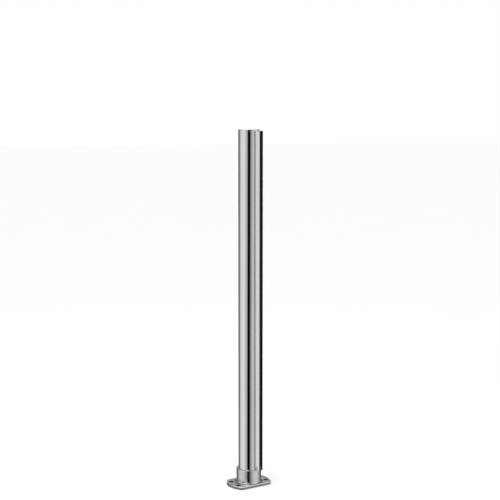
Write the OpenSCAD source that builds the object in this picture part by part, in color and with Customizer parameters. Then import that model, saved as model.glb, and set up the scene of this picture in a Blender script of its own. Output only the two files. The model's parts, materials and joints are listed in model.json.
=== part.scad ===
// Lift-out barrier post: a polished tube that stands over a spigot in a short socket collar.
// Frame: origin on the post's axis at the underside of the base plate, +Z up,
// +X along the plate's long axis. Millimetres.

/* [Post] */
// Height from the floor to the top of the cap
post_h = 1030; // [800:10:1300]
// Outside diameter of the post tube
tube_d = 60.3; // [50:0.1:90]
// Wall of the post tube
tube_wall = 2; // [1.5:0.1:3]
// Thickness of the cap above the tube
cap_t = 4; // [3:0.5:8]
// Bevel round the cap's top edge
cap_bevel = 1; // [0.5:0.1:1.5]
// Depth of the cap's ring inside the tube
cap_insert_h = 16; // [12:1:30]

/* [Base plate] */
// Thickness of the base plate
plate_t = 8; // [6:0.5:15]
// Bevel round the plate's top edge
plate_bevel = 1.5; // [0.5:0.1:3]
// How far each round end reaches past the collar
plate_end_margin = 28; // [25:0.5:50]
// How far each straight side stands past the collar
plate_side_margin = 6.5; // [6:0.5:30]
// Distance from the collar's side to the bolt holes, along the plate
bolt_offset = 11; // [8:0.5:14]
// Distance between the bolt holes across the plate
bolt_spacing_y = 38; // [30:1:40]
// Diameter of the bolt holes
bolt_hole_d = 13; // [9:0.5:15]

/* [Socket collar] */
// Height of the collar above the plate
collar_h = 40; // [35:1:80]
// Wall of the collar
collar_wall = 5.35; // [3:0.05:8]
// Gap between the post tube and the collar, on the radius
collar_clearance = 0.5; // [0.4:0.1:1]
// Bevel on the collar's rim
collar_bevel = 1; // [0.5:0.1:1.5]
// Leg of the weld round the collar and the spigot
weld_leg = 3; // [2:0.5:4]

/* [Spigot] */
// Height of the spigot tube above the plate
spigot_h = 148; // [110:1:250]
// Wall of the spigot tube
spigot_wall = 2.6; // [2:0.1:4]
// Thickness of the plate that closes the spigot
spigot_cap_t = 4; // [4:0.5:8]
// Gap between the spigot and the post tube, on the radius
spigot_gap = 4; // [3:0.5:6]
// Height of each guide ring on the spigot
ring_h = 12; // [8:1:25]
// Diameter of the cross pin that stops the post from turning
pin_d = 8; // [6:0.5:10]

/* [Side channel] */
// Angle of the channel from the plate's short axis
channel_turn = 16; // [0:1:45]
// Width of the channel
channel_w = 13; // [12:0.5:20]
// How far the channel and its gasket stand out from the tube
channel_depth = 18; // [16:0.5:30]
// Wall of the channel's cheeks
channel_wall = 1.5; // [1:0.1:2]
// Thickness of the channel's web against the tube
channel_web = 2.6; // [2:0.1:5]
// Width of the slot that the panel's edge slides in
panel_slot_w = 6.4; // [6:0.1:7]
// Thickness of the gasket's lip over the channel's edges
gasket_lip = 1.5; // [1:0.1:3]
// Number of screws that hold the channel
screw_count = 5; // [3:1:8]

/* [Lock] */
// Height of the lock's axis above the spigot
lock_rise = 22; // [22:0.5:40]
// Length of the lock's body inside its flange
lock_body_l = 21; // [18:0.5:22]
// Diameter of the lock's body
lock_body_d = 18; // [17:0.5:19]
// Diameter of the turning plug
plug_d = 12; // [10:0.5:12.5]
// Thickness of the cam
cam_t = 3; // [2:0.5:4]
// Width of the cam's arm
cam_w = 12; // [10:0.5:13]
// Thickness of the swinging keyhole cover
cover_t = 1.5; // [1:0.1:3]

/* [Hidden] */
$fn = 96;

// Clearances
touch = 0.02;         // between curved faces of pieces that are fixed together
run_fit = 0.05;       // on the radius of a shaft that turns in a bore
glide = 0.3;          // between sliding curved faces
cut = 1;              // how far a cutting solid passes the face that it cuts

// Colours
polished = [0.80, 0.81, 0.82];
satin = [0.66, 0.67, 0.69];
black_rubber = [0.06, 0.06, 0.065];
black_nylon = [0.10, 0.10, 0.11];
natural_nylon = [0.88, 0.87, 0.82];
brass_yellow = [0.78, 0.66, 0.38];

// Radii
tube_r = tube_d / 2;
bore_r = tube_r - tube_wall;
collar_bore_r = tube_r + collar_clearance;
collar_r = collar_bore_r + collar_wall;
spigot_r = bore_r - spigot_gap;

// Levels
plate_top = plate_t;
collar_top = plate_top + collar_h;
seat_t = 2;
tube_bottom = plate_top + seat_t;
tube_top = post_h - cap_t;
spigot_top = plate_top + spigot_h;
spigot_cap_top = spigot_top + spigot_cap_t;
lock_z = spigot_cap_top + lock_rise;

// Base plate
plate_d = 2 * (collar_r + plate_end_margin);
plate_w = 2 * (collar_r + plate_side_margin);
bolt_spacing_x = 2 * (collar_r + bolt_offset);

// Seal in the collar's rim
seal_h = 3;
seal_drop = 4;
seal_groove = 2;

// Cross pin and guide rings
pin_z = tube_bottom + pin_d;
pin_half_l = tube_r - glide;
ring_gap = 6;
lower_ring_z = pin_z + pin_d / 2 + ring_gap;
upper_ring_z = spigot_top - ring_gap - ring_h;

// Side channel
channel_gap = 1;
channel_bottom = collar_top + channel_gap;
channel_reach = tube_r + channel_depth;
cheek_reach = channel_reach - gasket_lip;
channel_floor = tube_r + touch + channel_web;
channel_in_w = channel_w - 2 * channel_wall;
stop_h = 12;
stop_top = channel_bottom + stop_h;
gasket_fit = 0.1;
gasket_base_t = 2;

// Channel screws and their rivet nuts
screw_d = 5;
screw_head_d = 8.5;
screw_head_h = 2.5;
screw_hex = 3;
screw_l = 12;
screw_end_room = 36;
rivet_d = 7;
rivet_bulge_d = 9.5;
rivet_bulge_h = 3;
rivet_l = 11;
first_screw_z = lock_z + screw_end_room;
screw_pitch = (tube_top - screw_end_room - first_screw_z) / (screw_count - 1);
gasket_back = channel_floor + screw_head_h + cut;

// Lock: distances from the post's axis, along the lock's own axis
saddle_t = 2;
saddle_r = lock_body_d / 2 + 4;
flange_t = 2;
flange_r = saddle_r - 1;
saddle_face = tube_r + saddle_t;
lock_face = saddle_face + flange_t;
body_end = saddle_face - lock_body_l;
plug_head_r = plug_d / 2 + 1;
plug_head_t = 1.5;
plug_recess = 0.4;
plug_end = body_end - glide;
drive_w = plug_d / 2;
cam_end = plug_end - cam_t;
cam_hub_r = 8;
cam_screw_r = 2;
cam_screw_head_r = 5;
cam_screw_head_t = 2.5;
cam_screw_l = 10;
keyway_w = 1.4;
keyway_h = 7;
keyway_depth = 14;
nut_flats = lock_body_d + 4;
nut_t = 5;
nut_corner_r = nut_flats / sqrt(3);
washer_r = nut_corner_r + glide;
wall_gap = 0.6;
nut_face = sqrt(pow(bore_r - wall_gap, 2) - pow(washer_r, 2));

// Catch bracket on the spigot: the cam turns under its lip
bracket_t = 3;
bracket_w = 7;
bracket_inset = 1;
bracket_foot_x = 3;
bracket_y = plug_end - cam_t / 2;
bore_room = 1.5;
leg_limit = sqrt(pow(bore_r - bore_room, 2) - pow(bracket_y + bracket_w / 2, 2));
leg_out = min(spigot_r - bracket_inset, leg_limit);
leg_in = leg_out - bracket_t;
cam_tip_gap = 2;
cam_foot_gap = 0.8;
cam_reach = min(leg_in - cam_tip_gap, lock_rise - bracket_t - cam_foot_gap);
lip_gap = 1;
lip_z = lock_rise + cam_w / 2 + lip_gap;
lip_x = lock_body_d / 2 + lip_gap;
bracket_screw_d = 4;
bracket_screw_head_d = 7;
bracket_screw_x = [bracket_foot_x + 4, leg_in - 5];

// Keyhole cover
cover_drop = 18;
cover_r = flange_r;
cover_top_r = 6;
cover_gap = 0.4;
cover_back = lock_face + cover_gap;
cover_pin_d = 4;
cover_shoulder_r = 3.5;
cover_head_r = 4;
cover_head_t = 1.5;
cover_tail_r = 3;
cover_tail_t = 1.5;

function screw_z(i) = first_screw_z + i * screw_pitch;

// Turns the channel and what belongs to it from the plate's short axis to its panel's side
module turned() {
    rotate([0, 0, channel_turn]) children();
}

// A cylinder along the lock's axis, from one distance to another
module radial(from, to, r) {
    translate([0, from, 0]) rotate([-90, 0, 0]) cylinder(h = to - from, r = r);
}

// The same on the channel's side
module radial_front(from, to, r) {
    mirror([0, 1, 0]) radial(from, to, r);
}

module ring(outer_r, inner_r, h) {
    difference() {
        cylinder(h = h, r = outer_r);
        translate([0, 0, -cut]) cylinder(h = h + 2 * cut, r = inner_r);
    }
}

// A dressed fillet weld round a tube that stands on the plate
module weld_bead(r) {
    throat = weld_leg * 0.4;
    translate([0, 0, plate_top]) rotate_extrude()
        polygon([[r, 0], [r + weld_leg, 0], [r + throat, throat], [r, weld_leg]]);
}

module base_plate() {
    half_w = plate_w / 2;
    shoulder = plate_t - plate_bevel;
    section = [[-half_w, 0], [half_w, 0], [half_w, shoulder], [half_w - plate_bevel, plate_t],
        [plate_bevel - half_w, plate_t], [-half_w, shoulder]];
    color(polished) difference() {
        intersection() {
            union() {
                cylinder(h = shoulder, d = plate_d);
                translate([0, 0, shoulder])
                    cylinder(h = plate_bevel, d1 = plate_d, d2 = plate_d - 2 * plate_bevel);
            }
            rotate([90, 0, 90]) translate([0, 0, -plate_d / 2])
                linear_extrude(plate_d) polygon(section);
        }
        for (x = [-1, 1], y = [-1, 1])
            translate([x * bolt_spacing_x / 2, y * bolt_spacing_y / 2, -cut])
                cylinder(h = plate_t + 2 * cut, d = bolt_hole_d);
    }
}

module socket_collar() {
    b = collar_bevel;
    groove_r = collar_bore_r + seal_groove;
    groove_top = collar_h - seal_drop;
    groove_low = groove_top - seal_h;
    color(polished) translate([0, 0, plate_top]) rotate_extrude()
        polygon([[collar_bore_r, 0], [collar_r, 0], [collar_r, collar_h - b],
            [collar_r - b, collar_h], [collar_bore_r + b, collar_h],
            [collar_bore_r, collar_h - b], [collar_bore_r, groove_top], [groove_r, groove_top],
            [groove_r, groove_low], [collar_bore_r, groove_low]]);
}

module collar_weld() {
    color(satin) weld_bead(collar_r + touch);
}

module collar_seal() {
    back_r = collar_bore_r + seal_groove - touch;
    lip_r = tube_r + glide;
    low = collar_top - seal_drop - seal_h;
    color(black_rubber) translate([0, 0, low]) rotate_extrude()
        polygon([[back_r, 0], [back_r, seal_h], [collar_bore_r, seal_h],
            [lip_r, seal_h / 2], [collar_bore_r, 0]]);
}

module spigot_tube() {
    color(satin) difference() {
        translate([0, 0, plate_top]) ring(spigot_r, spigot_r - spigot_wall, spigot_h);
        translate([0, 0, pin_z]) rotate([0, 90, 0])
            cylinder(h = tube_d, d = pin_d + 2 * touch, center = true);
    }
}

module spigot_weld() {
    color(satin) weld_bead(spigot_r + touch);
}

module spigot_cap() {
    color(satin) difference() {
        translate([0, 0, spigot_top]) cylinder(h = spigot_cap_t, r = spigot_r);
        for (x = bracket_screw_x)
            translate([x, bracket_y, spigot_top - cut])
                cylinder(h = spigot_cap_t + 2 * cut, d = bracket_screw_d + 2 * touch);
    }
}

module cross_pin() {
    color(satin) translate([0, 0, pin_z]) rotate([0, 90, 0])
        cylinder(h = 2 * pin_half_l, d = pin_d, center = true);
}

module guide_ring(z) {
    color(natural_nylon) translate([0, 0, z]) ring(bore_r - glide, spigot_r + run_fit, ring_h);
}

module lower_guide_ring() {
    guide_ring(lower_ring_z);
}

module upper_guide_ring() {
    guide_ring(upper_ring_z);
}

module seat_gasket() {
    inner_r = spigot_r + weld_leg + glide;
    color(black_rubber) translate([0, 0, plate_top]) ring(tube_r, inner_r, seat_t);
}

module catch_bracket() {
    lip_top = lip_z + bracket_t;
    section = [[bracket_foot_x, 0], [leg_out, 0], [leg_out, lip_top], [lip_x, lip_top],
        [lip_x, lip_z], [leg_in, lip_z], [leg_in, bracket_t], [bracket_foot_x, bracket_t]];
    color(satin) translate([0, 0, spigot_cap_top]) difference() {
        translate([0, bracket_y + bracket_w / 2, 0]) rotate([90, 0, 0])
            linear_extrude(bracket_w) polygon(section);
        for (x = bracket_screw_x) translate([x, bracket_y, 0]) {
            translate([0, 0, -cut])
                cylinder(h = bracket_t + 2 * cut, d = bracket_screw_d + 2 * touch);
            bracket_screw_head(touch);
        }
    }
}

// Countersunk head, flush with the bracket's foot, grown by the given amount
module bracket_screw_head(grow) {
    head_h = (bracket_screw_head_d - bracket_screw_d) / 2;
    translate([0, 0, bracket_t - head_h])
        cylinder(h = head_h, d1 = bracket_screw_d + 2 * grow,
            d2 = bracket_screw_head_d + 2 * grow);
}

module bracket_screws() {
    color(satin) for (x = bracket_screw_x)
        translate([x, bracket_y, spigot_cap_top]) {
            translate([0, 0, -spigot_cap_t])
                cylinder(h = spigot_cap_t + bracket_t, d = bracket_screw_d);
            bracket_screw_head(0);
        }
}

module post_tube() {
    slot_w = pin_d + 2 * glide;
    color(polished) difference() {
        translate([0, 0, tube_bottom]) ring(tube_r, bore_r, tube_top - tube_bottom);
        translate([0, 0, pin_z]) rotate([0, 90, 0])
            cylinder(h = tube_d + 2 * cut, d = slot_w, center = true);
        translate([-tube_r - cut, -slot_w / 2, tube_bottom - cut])
            cube([tube_d + 2 * cut, slot_w, pin_z - tube_bottom + cut]);
        translate([0, 0, lock_z]) radial(0, tube_r + cut, lock_body_d / 2 + glide);
        translate([0, 0, lock_z + cover_drop]) radial(0, tube_r + cut, cover_pin_d / 2 + touch);
        turned() for (i = [0 : screw_count - 1]) translate([0, 0, screw_z(i)])
            radial_front(0, tube_r + cut, rivet_d / 2 + touch);
    }
}

// Ring groove of the cap and the O-ring in it
cap_insert_r = bore_r - 0.1;
cap_insert_wall = 4;
oring_r = 1;
groove_depth = 2 * oring_r;
groove_half_h = oring_r + 0.2;
groove_mid = tube_top - cap_insert_h / 2;

module top_cap() {
    color(polished) {
        difference() {
            translate([0, 0, tube_top - cap_insert_h]) {
                ring(cap_insert_r, cap_insert_r - cap_insert_wall, cap_insert_h);
                translate([0, 0, cap_insert_h]) cylinder(h = cap_t - cap_bevel, r = tube_r);
                translate([0, 0, cap_insert_h + cap_t - cap_bevel])
                    cylinder(h = cap_bevel, r1 = tube_r, r2 = tube_r - cap_bevel);
            }
            translate([0, 0, groove_mid - groove_half_h])
                ring(tube_r, cap_insert_r - groove_depth, 2 * groove_half_h);
        }
    }
}

module cap_oring() {
    color(black_rubber) translate([0, 0, groove_mid]) rotate_extrude()
        translate([cap_insert_r - groove_depth + oring_r + touch, 0]) circle(r = oring_r, $fn = 32);
}

module channel_profile() {
    channel_l = tube_top - channel_bottom;
    color(polished) turned() difference() {
        translate([-channel_w / 2, -cheek_reach, channel_bottom])
            cube([channel_w, cheek_reach - bore_r, channel_l]);
        translate([0, 0, channel_bottom - cut])
            cylinder(h = channel_l + 2 * cut, r = tube_r + touch);
        translate([-channel_in_w / 2, -cheek_reach - cut, channel_bottom - cut])
            cube([channel_in_w, cheek_reach + cut - channel_floor, channel_l + 2 * cut]);
        for (i = [0 : screw_count - 1]) translate([0, 0, screw_z(i)])
            radial_front(0, channel_reach, screw_d / 2 + glide);
    }
}

// Outline of what fills the channel's mouth: a core between the cheeks and a lip over them
module mouth_outline(back) {
    core_w = channel_in_w - 2 * gasket_fit;
    translate([-core_w / 2, -cheek_reach]) square([core_w, cheek_reach - back]);
    translate([-channel_w / 2, -channel_reach]) square([channel_w, gasket_lip]);
}

module panel_gasket() {
    slot_floor = gasket_back + gasket_base_t;
    color(black_rubber) turned() translate([0, 0, stop_top])
        linear_extrude(tube_top - stop_top) difference() {
            mouth_outline(gasket_back);
            translate([-panel_slot_w / 2, -channel_reach - cut])
                square([panel_slot_w, channel_reach + cut - slot_floor]);
        }
}

module channel_stop() {
    color(black_nylon) turned() translate([0, 0, channel_bottom])
        linear_extrude(stop_h) mouth_outline(channel_floor + gasket_fit);
}

module channel_screws() {
    head_end = channel_floor + screw_head_h;
    color(satin) turned() for (i = [0 : screw_count - 1]) translate([0, 0, screw_z(i)])
        difference() {
            union() {
                radial_front(channel_floor - screw_l, channel_floor + touch, screw_d / 2);
                radial_front(channel_floor, head_end, screw_head_d / 2);
            }
            mirror([0, 1, 0]) translate([0, head_end - screw_head_h / 2, 0])
                rotate([-90, 0, 0]) cylinder(h = screw_head_h, d = screw_hex / cos(30), $fn = 6);
        }
}

module rivet_nuts() {
    // The flat ends stay inside the curved faces of the tube's wall
    outer = sqrt(pow(tube_r, 2) - pow(rivet_d / 2, 2)) - touch;
    bulge = sqrt(pow(bore_r, 2) - pow(rivet_bulge_d / 2, 2)) - touch;
    color(brass_yellow) turned() for (i = [0 : screw_count - 1])
        translate([0, 0, screw_z(i)]) difference() {
            union() {
                radial_front(outer - rivet_l, outer, rivet_d / 2);
                radial_front(bulge - rivet_bulge_h, bulge, rivet_bulge_d / 2);
            }
            radial_front(0, tube_r, screw_d / 2 + touch);
        }
}

// Places a piece of the lock at the lock's height, on the post's back
module at_lock() {
    translate([0, 0, lock_z]) children();
}

module lock_saddle() {
    color(polished) at_lock() difference() {
        radial(bore_r, saddle_face, saddle_r);
        radial(0, saddle_face + cut, lock_body_d / 2 + glide);
        cylinder(h = 4 * saddle_r, r = tube_r + touch, center = true);
    }
}

module lock_housing() {
    color(polished) at_lock() difference() {
        union() {
            radial(body_end, saddle_face + touch, lock_body_d / 2);
            radial(saddle_face, lock_face, flange_r);
        }
        radial(body_end - cut, lock_face + cut, plug_d / 2 + run_fit);
        radial(lock_face - plug_recess - plug_head_t - run_fit, lock_face + cut,
            plug_head_r + run_fit);
    }
}

module lock_washer() {
    color(satin) at_lock() difference() {
        intersection() {
            radial(nut_face, tube_r, washer_r);
            cylinder(h = 4 * washer_r, r = bore_r - touch, center = true);
        }
        radial(0, tube_r, lock_body_d / 2 + touch);
    }
}

module lock_nut() {
    color(satin) at_lock() difference() {
        translate([0, nut_face - nut_t, 0]) rotate([-90, 0, 0])
            cylinder(h = nut_t, r = nut_corner_r, $fn = 6);
        radial(0, tube_r, lock_body_d / 2 + touch);
    }
}

module lock_plug() {
    head_face = lock_face - plug_recess;
    color(brass_yellow) at_lock() difference() {
        union() {
            radial(plug_end, head_face - plug_head_t + touch, plug_d / 2);
            radial(head_face - plug_head_t, head_face, plug_head_r);
            translate([-drive_w / 2, cam_end, -drive_w / 2])
                cube([drive_w, cam_t + touch, drive_w]);
        }
        translate([-keyway_w / 2, head_face - keyway_depth, -keyway_h / 2])
            cube([keyway_w, keyway_depth + cut, keyway_h]);
        radial(cam_end - cut, cam_end + cam_screw_l, cam_screw_r + touch);
    }
}

module lock_cam() {
    drive_hole = drive_w + 2 * run_fit;
    arm_l = cam_reach - cam_w / 2;
    color(satin) at_lock() difference() {
        union() {
            radial(cam_end, plug_end, cam_hub_r);
            translate([-cam_w / 2, cam_end, -arm_l]) cube([cam_w, cam_t, arm_l]);
            translate([0, 0, -arm_l]) radial(cam_end, plug_end, cam_w / 2);
        }
        translate([-drive_hole / 2, cam_end - cut, -drive_hole / 2])
            cube([drive_hole, cam_t + 2 * cut, drive_hole]);
    }
}

module cam_screw() {
    color(satin) at_lock() {
        radial(cam_end - cam_screw_head_t, cam_end, cam_screw_head_r);
        radial(cam_end - touch, cam_end + cam_screw_l - cut, cam_screw_r);
    }
}

module cover_flap() {
    // The straight sides run along the common tangents of the two round ends
    lean = asin((cover_r - cover_top_r) / cover_drop);
    side_low = [cover_r * cos(lean), cover_r * sin(lean) - cover_drop];
    side_top = [cover_top_r * cos(lean), cover_top_r * sin(lean)];
    color(polished) at_lock() translate([0, 0, cover_drop]) difference() {
        union() {
            radial(cover_back, cover_back + cover_t, cover_top_r);
            translate([0, 0, -cover_drop]) radial(cover_back, cover_back + cover_t, cover_r);
            translate([0, cover_back + cover_t, 0]) rotate([90, 0, 0]) linear_extrude(cover_t)
                polygon([side_low, side_top, [-side_top[0], side_top[1]],
                    [-side_low[0], side_low[1]]]);
        }
        radial(0, cover_back + cover_t + cut, cover_pin_d / 2 + run_fit);
    }
}

module cover_pin() {
    head_back = cover_back + cover_t + run_fit;
    tail_face = sqrt(pow(bore_r, 2) - pow(cover_tail_r, 2)) - touch;
    color(satin) at_lock() translate([0, 0, cover_drop]) {
        radial(tail_face - cover_tail_t, head_back + touch, cover_pin_d / 2);
        radial(tail_face - cover_tail_t, tail_face, cover_tail_r);
        radial(tube_r + touch, cover_back - run_fit, cover_shoulder_r);
        radial(head_back, head_back + cover_head_t, cover_head_r);
    }
}

base_plate();
socket_collar();
collar_weld();
spigot_tube();
spigot_weld();
spigot_cap();
cross_pin();
lower_guide_ring();
upper_guide_ring();
seat_gasket();
collar_seal();
catch_bracket();
bracket_screws();
post_tube();
top_cap();
cap_oring();
channel_profile();
panel_gasket();
channel_stop();
channel_screws();
rivet_nuts();
lock_saddle();
lock_housing();
lock_washer();
lock_nut();
lock_plug();
lock_cam();
cam_screw();
cover_flap();
cover_pin();
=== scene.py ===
"""Looks of the lift-out barrier post: refined meshes, procedural materials, studio and camera."""
import json
import math

import bpy
import numpy as np
from mathutils import Matrix, Vector


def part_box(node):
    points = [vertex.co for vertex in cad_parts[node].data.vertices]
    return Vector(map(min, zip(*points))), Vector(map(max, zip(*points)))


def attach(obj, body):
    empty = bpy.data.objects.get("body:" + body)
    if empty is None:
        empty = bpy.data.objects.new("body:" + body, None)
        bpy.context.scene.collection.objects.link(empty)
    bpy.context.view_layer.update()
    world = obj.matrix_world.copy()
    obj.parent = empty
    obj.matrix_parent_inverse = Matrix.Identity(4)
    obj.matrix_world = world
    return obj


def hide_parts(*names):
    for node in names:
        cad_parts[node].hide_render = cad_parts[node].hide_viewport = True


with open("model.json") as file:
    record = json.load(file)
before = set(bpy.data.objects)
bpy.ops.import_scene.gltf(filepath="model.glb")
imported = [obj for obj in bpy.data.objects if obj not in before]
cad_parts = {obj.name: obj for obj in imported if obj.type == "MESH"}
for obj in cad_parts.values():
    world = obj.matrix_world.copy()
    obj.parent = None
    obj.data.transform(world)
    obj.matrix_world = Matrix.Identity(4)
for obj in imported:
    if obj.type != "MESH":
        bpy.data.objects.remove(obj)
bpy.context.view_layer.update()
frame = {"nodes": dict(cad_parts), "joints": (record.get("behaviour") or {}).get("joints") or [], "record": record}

MM = 0.001

# --------------------------------------------------------------------------------------
# Places, all read from the frame
# --------------------------------------------------------------------------------------
joints = {j["name"]: j for j in frame["joints"]}
mounts = {m["name"]: m for m in frame["record"]["mounts"]}
lock_out = Vector(joints["cover_swing"]["axis"]).normalized()
lock_z = joints["lock_turn"]["pos_m"][2]
cover_z = joints["cover_swing"]["pos_m"][2]

# The channel's own frame looks along -Y and is turned round the post
channel_pos = mounts["panel_channel"]["pos_m"]
channel_out = Vector((channel_pos[0], channel_pos[1], 0)).normalized()
channel_frame = Matrix.Rotation(math.atan2(channel_out.x, -channel_out.y), 4, "Z")

tube_low, tube_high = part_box("post_tube")
cap_low, cap_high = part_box("top_cap")
collar_low, collar_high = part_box("socket_collar")
plate_low, plate_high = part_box("base_plate")
spigot_low, spigot_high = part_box("spigot_tube")
channel_low, channel_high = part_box("channel_profile")
gasket_low, gasket_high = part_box("panel_gasket")
pin_low, pin_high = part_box("cross_pin")
collar_weld_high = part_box("collar_weld")[1]

# --------------------------------------------------------------------------------------
# Sizes that the frame doesn't state, the same as the CAD model's
# --------------------------------------------------------------------------------------
TUBE_WALL = 2 * MM
CAP_BEVEL = 1 * MM
CAP_INSERT_WALL = 4 * MM
CAP_FIT = 0.1 * MM
ORING_GROOVE = 2 * MM
ORING_ROOM = 0.2 * MM    # in the groove, on each side of the ring
PLATE_BEVEL = 1.5 * MM
COLLAR_WALL = 5.35 * MM
SEAL_GROOVE = 2 * MM
SPIGOT_WALL = 2.6 * MM
CHANNEL_W = 13 * MM
CHANNEL_DEPTH = 18 * MM
CHANNEL_WALL = 1.5 * MM
CHANNEL_WEB = 2.6 * MM
GASKET_LIP = 1.5 * MM
GASKET_FIT = 0.1 * MM
GASKET_BACK = 3.5 * MM   # room for the screws' heads, behind the gasket
GASKET_BASE_T = 2 * MM
PANEL_SLOT = 6.4 * MM
SCREW_R = 2.5 * MM
RIVET_NUT_R = 3.5 * MM
LOCK_R = 9 * MM
RIVET_R = 2 * MM
RIVET_SHOULDER_R = 3.5 * MM
RIVET_HEAD_R = 4 * MM
RIVET_TAIL_R = 3 * MM
RIVET_TAIL_T = 1.5 * MM
PIN_AXIS = Vector((1, 0, 0))

# Gaps between pieces fixed together, round a shaft that turns, and between sliding faces
TOUCH = 0.02 * MM
RUN_FIT = 0.05 * MM
GLIDE = 0.3 * MM

# --------------------------------------------------------------------------------------
# Sizes of the finer shapes
# --------------------------------------------------------------------------------------
FOOT_SHADE_REACH = 3.5 * MM     # how far the painted shade on the plate round the weld reaches
HEEL_ROUND = 1.9 * MM    # of the channel's edges against the tube
RIB = 0.35 * MM          # half the height of a rib in the gasket's slot
RIB_PITCH = 2 * MM
RIB_COUNT = 4
FIRST_RIB = 2.2 * MM     # from the channel's face
PLATE_FOOT_BEVEL = 0.3 * MM
WELD_PITCH = 2 * MM      # from one puddle to the next
GREASE_GROOVE = 0.8 * MM
GREASE_GROOVE_HALF = 0.6 * MM    # half its height where it opens
RING_LEAD_IN = 1 * MM
CUT = 1 * MM             # how far a cutter passes the face that it cuts

# Outward and upward shares of the weld's leg: a steep dressed face above a thin toe
WELD_SECTION = [(0, 0), (1, 0), (1, 0.04), (0.33, 0.3), (0, 1)]

# How many sides a turned piece has, by its size
FINE_TURNS = 256
TURNS = 192
CUTTER_TURNS = 96
SMALL_TURNS = 64

SHARP_ANGLE = 32         # degrees, above which an edge stays sharp
NORMAL_WEIGHT = 80       # how much more a large face counts than a bevel in the shading

# --------------------------------------------------------------------------------------
# Sizes worked out from those
# --------------------------------------------------------------------------------------
tube_r = tube_high.x
bore_r = tube_r - TUBE_WALL
collar_r = collar_high.x
collar_bore_r = collar_r - COLLAR_WALL
spigot_r = spigot_high.x
channel_reach = tube_r + CHANNEL_DEPTH
cheek_reach = channel_reach - GASKET_LIP
channel_floor = tube_r + TOUCH + CHANNEL_WEB
pin_z = (pin_low.z + pin_high.z) / 2
pin_r = (pin_high.z - pin_low.z) / 2

bolts = mounts["floor_bolts"]["dims"]
bolt_x = bolts["spacing_x_mm"] * MM / 2
bolt_y = bolts["spacing_y_mm"] * MM / 2
bolt_r = bolts["hole_r_mm"] * MM


# --------------------------------------------------------------------------------------
# Mesh helpers
# --------------------------------------------------------------------------------------
def rounded(points, radius, steps=4):
    """The closed outline with its corners rounded. radius is one number, or one per corner."""
    straight = 0.01
    most_of_side = 0.49
    count = len(points)
    radii = radius if hasattr(radius, "__len__") else [radius] * count
    result = []
    for i, corner in enumerate(points):
        p = Vector(corner)
        to_last = Vector(points[i - 1]) - p
        to_next = Vector(points[(i + 1) % count]) - p
        angle = to_last.angle(to_next)
        if radii[i] == 0 or abs(angle - math.pi) < straight:
            result.append(tuple(p))
            continue
        most = most_of_side * min(to_last.length, to_next.length)
        back = min(radii[i] / math.tan(angle / 2), most)
        r = back * math.tan(angle / 2)
        inward = (to_last.normalized() + to_next.normalized()).normalized()
        centre = p + inward * (r / math.sin(angle / 2))
        start = p + to_last.normalized() * back - centre
        sweep = (p + to_next.normalized() * back - centre).angle_signed(start)
        for k in range(steps + 1):
            result.append(tuple(centre + Matrix.Rotation(sweep * k / steps, 2) @ start))
    return result


def new_object(name, verts, faces, matrix=None):
    """A new mesh, moved by the matrix if there is one."""
    mesh = bpy.data.meshes.new(name)
    mesh.from_pydata([tuple(v) for v in verts], [], faces)
    mesh.validate()
    if matrix is not None:
        mesh.transform(matrix)
    obj = bpy.data.objects.new(name, mesh)
    bpy.context.scene.collection.objects.link(obj)
    bpy.context.view_layer.update()
    return obj


def apply_modifiers(obj):
    """Replaces the mesh by what its modifiers make of it."""
    evaluated = obj.evaluated_get(bpy.context.evaluated_depsgraph_get())
    mesh = bpy.data.meshes.new_from_object(evaluated)
    obj.modifiers.clear()
    obj.data = mesh


def finish_mesh(obj, sharp=SHARP_ANGLE):
    """Smooth shading that keeps flat faces flat and edges over the given angle sharp."""
    obj.data.shade_smooth()
    obj.data.set_sharp_from_angle(angle=math.radians(sharp))
    weighted = obj.modifiers.new("weighted", "WEIGHTED_NORMAL")
    weighted.keep_sharp = True
    weighted.weight = NORMAL_WEIGHT
    apply_modifiers(obj)
    return obj


def lathe(name, profile, turns=TURNS, matrix=None):
    """A closed profile of (radius, height) points turned round Z, with poles on the axis."""
    on_axis = 1e-7
    verts = []
    rings = []
    for r, z in profile:
        if r < on_axis:
            rings.append([len(verts)])
            verts.append(Vector((0, 0, z)))
            continue
        rings.append(range(len(verts), len(verts) + turns))
        for k in range(turns):
            a = 2 * math.pi * k / turns
            verts.append(Vector((r * math.cos(a), r * math.sin(a), z)))
    faces = []
    for i in range(len(rings)):
        low, high = rings[i], rings[(i + 1) % len(rings)]
        for k in range(turns):
            n = (k + 1) % turns
            if len(low) == 1 and len(high) == 1:
                break
            if len(low) == 1:
                faces.append((low[0], high[n], high[k]))
            elif len(high) == 1:
                faces.append((low[k], low[n], high[0]))
            else:
                faces.append((low[k], low[n], high[n], high[k]))
    return new_object(name, verts, faces, matrix)


def extrude(name, outline, low, high, matrix=None):
    """An outline of (x, y) points, anticlockwise, from height low to height high."""
    count = len(outline)
    verts = [(x, y, z) for z in (low, high) for x, y in outline]
    faces = [tuple(reversed(range(count))), tuple(range(count, 2 * count))]
    faces += [(i, (i + 1) % count, count + (i + 1) % count, count + i) for i in range(count)]
    return new_object(name, verts, faces, matrix)


def along(direction, height):
    """The matrix that lays a piece's own Z along direction, from the post's axis at that height."""
    turn = direction.to_track_quat("Z", "Y").to_matrix().to_4x4()
    return Matrix.Translation((0, 0, height)) @ turn


def cylinder(name, r, low, high, matrix=None, turns=CUTTER_TURNS):
    """A closed cylinder round Z, from height low to height high."""
    return lathe(name, [(0, low), (r, low), (r, high), (0, high)], turns, matrix)


def screw_cutters(r, reach, turns=CUTTER_TURNS):
    """A cutter for each of the channel's screws, from the post's axis outwards."""
    return [cylinder(f"cut_screw_{i}", r, 0, reach, along(channel_out, z), turns)
            for i, z in enumerate(screw_heights)]


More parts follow.
